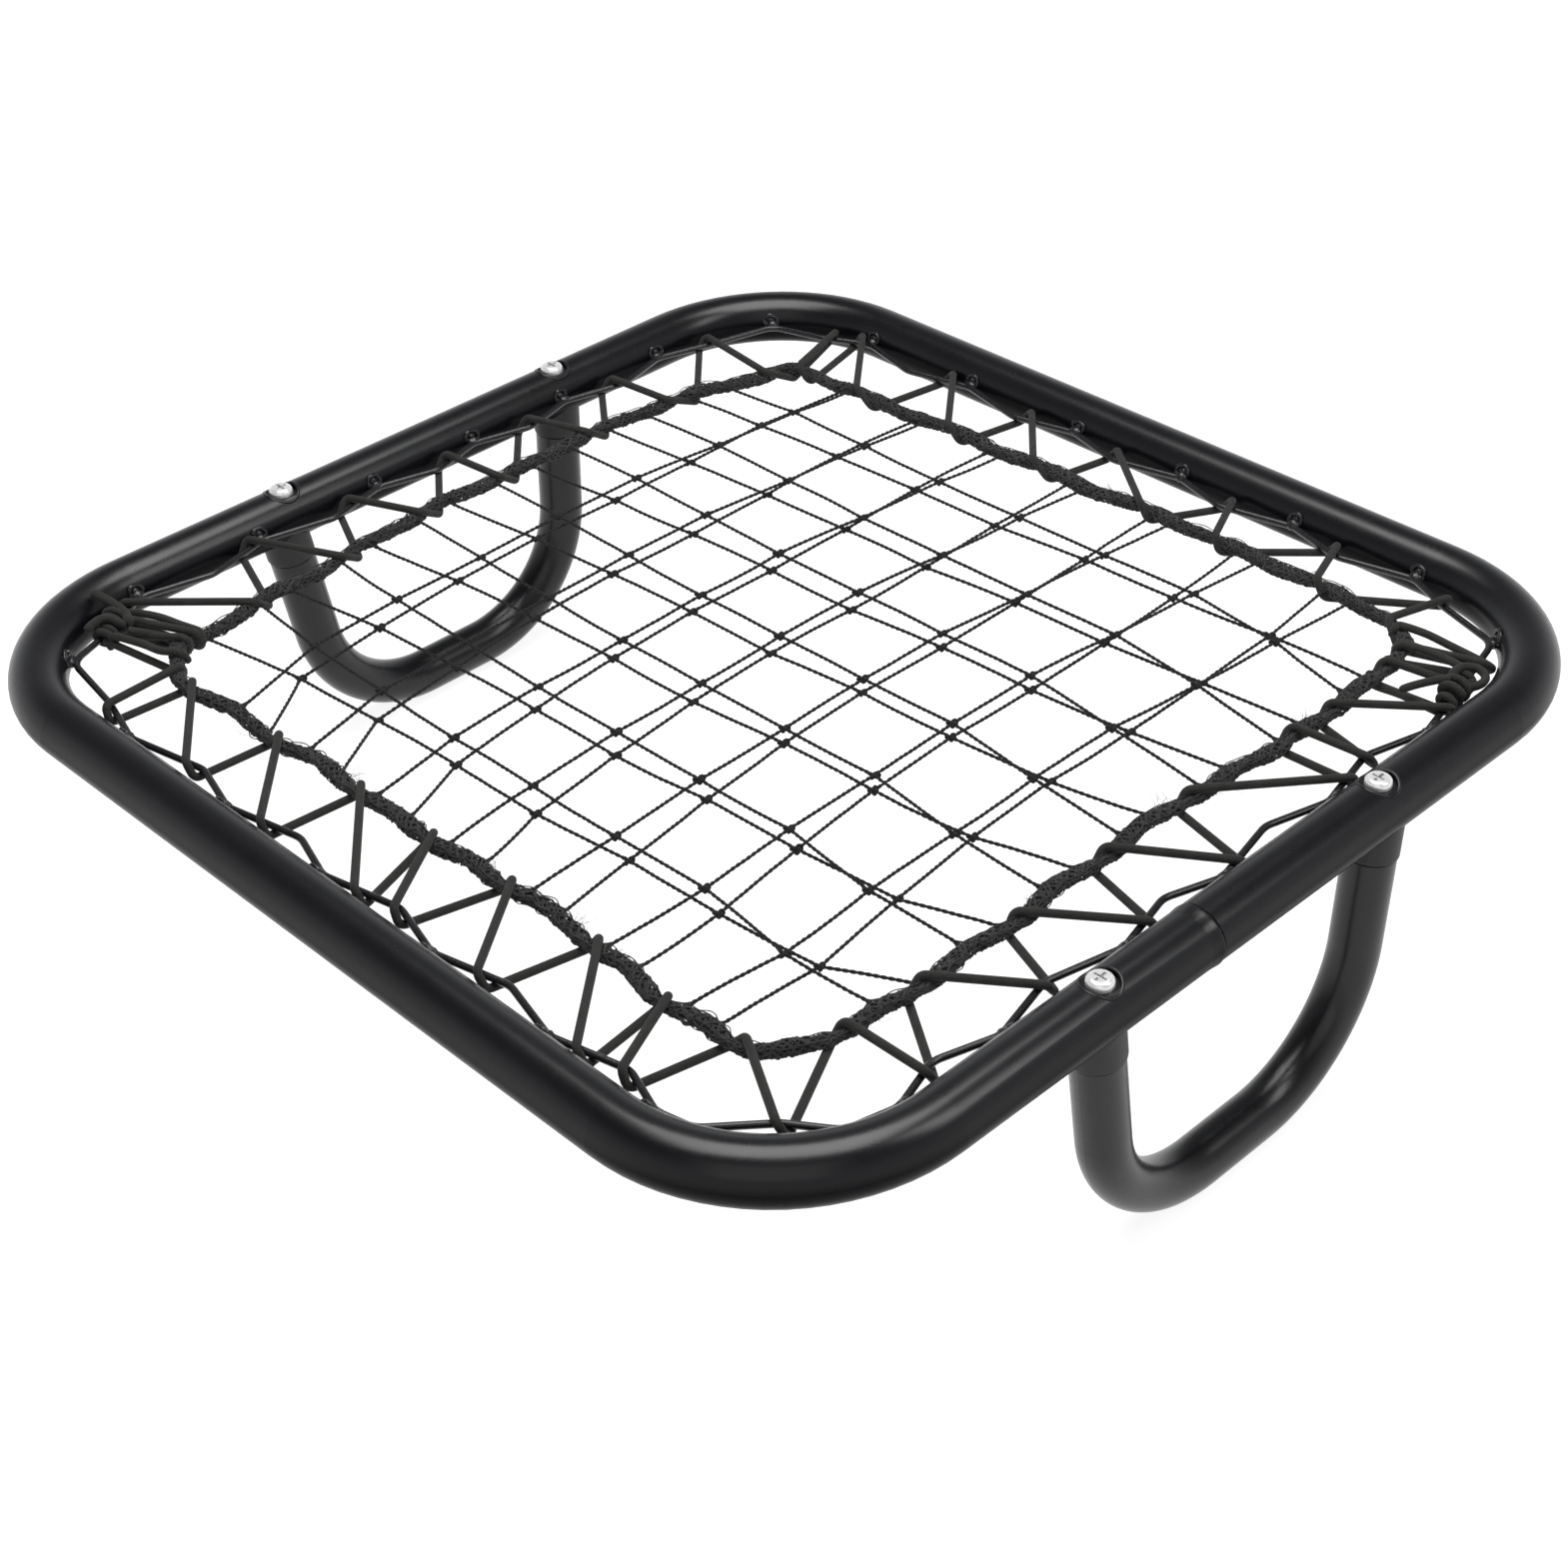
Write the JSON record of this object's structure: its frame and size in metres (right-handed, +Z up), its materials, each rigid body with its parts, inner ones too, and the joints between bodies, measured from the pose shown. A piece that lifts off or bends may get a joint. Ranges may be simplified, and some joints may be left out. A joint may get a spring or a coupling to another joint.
{
  "type": "pitch back rebounder",
  "caption": "Low square ball rebounder: a rounded steel tube frame on U-shaped handles, with an open net laced in by elastic cord.",
  "frame": {"origin": "on the floor, under the middle of the frame, at the bottom of the two handles", "axes": "+Z up, +X towards the side whose tube joint shows, along the longer dimension; both handles hang under the two X sides; +Y along the other two sides"},
  "size_m": [0.594, 0.5756, 0.1639],
  "materials": {
    "black_paint": "satin powder coat",
    "gloss_black_wire": "glossy paint",
    "black_plastic": "matte moulded",
    "plated_steel": "bright plated",
    "plain_steel": "bare tube",
    "net_twine": "twisted two-ply twine",
    "hem_rope": "coarse knitted rope",
    "elastic_cord": "fine braided sheath over a rubber core"
  },
  "bodies": {
    "frame": {"frame_tube": "black_paint", "joint_sleeve": "plain_steel", "lacing_wire": "gloss_black_wire", "weld_beads": "gloss_black_wire", "handle_right": "black_paint", "handle_left": "black_paint", "saddle_right_front": "black_plastic", "saddle_right_back": "black_plastic", "saddle_left_front": "black_plastic", "saddle_left_back": "black_plastic", "screw_right_front": "plated_steel", "screw_right_back": "plated_steel", "screw_left_front": "plated_steel", "screw_left_back": "plated_steel", "nut_right_front": "plated_steel", "nut_right_back": "plated_steel", "nut_left_front": "plated_steel", "nut_left_back": "plated_steel", "corner_knot_left": "elastic_cord", "corner_knot_right": "elastic_cord", "lacing_cord_one": "elastic_cord", "lacing_cord_two": "elastic_cord"},
    "net": {"net_upper": "net_twine", "net_lower": "net_twine", "border_rope": "hem_rope"}
  },
  "joints": [
    {"name": "net_bounce", "type": "slide", "parent": "frame", "child": "net", "axis": [0, 0, 1], "range_m": [-0.045, 0.045], "stiffness_N_per_m": 3000, "deforming": ["lacing_cord_one", "lacing_cord_two"]}
  ]
}
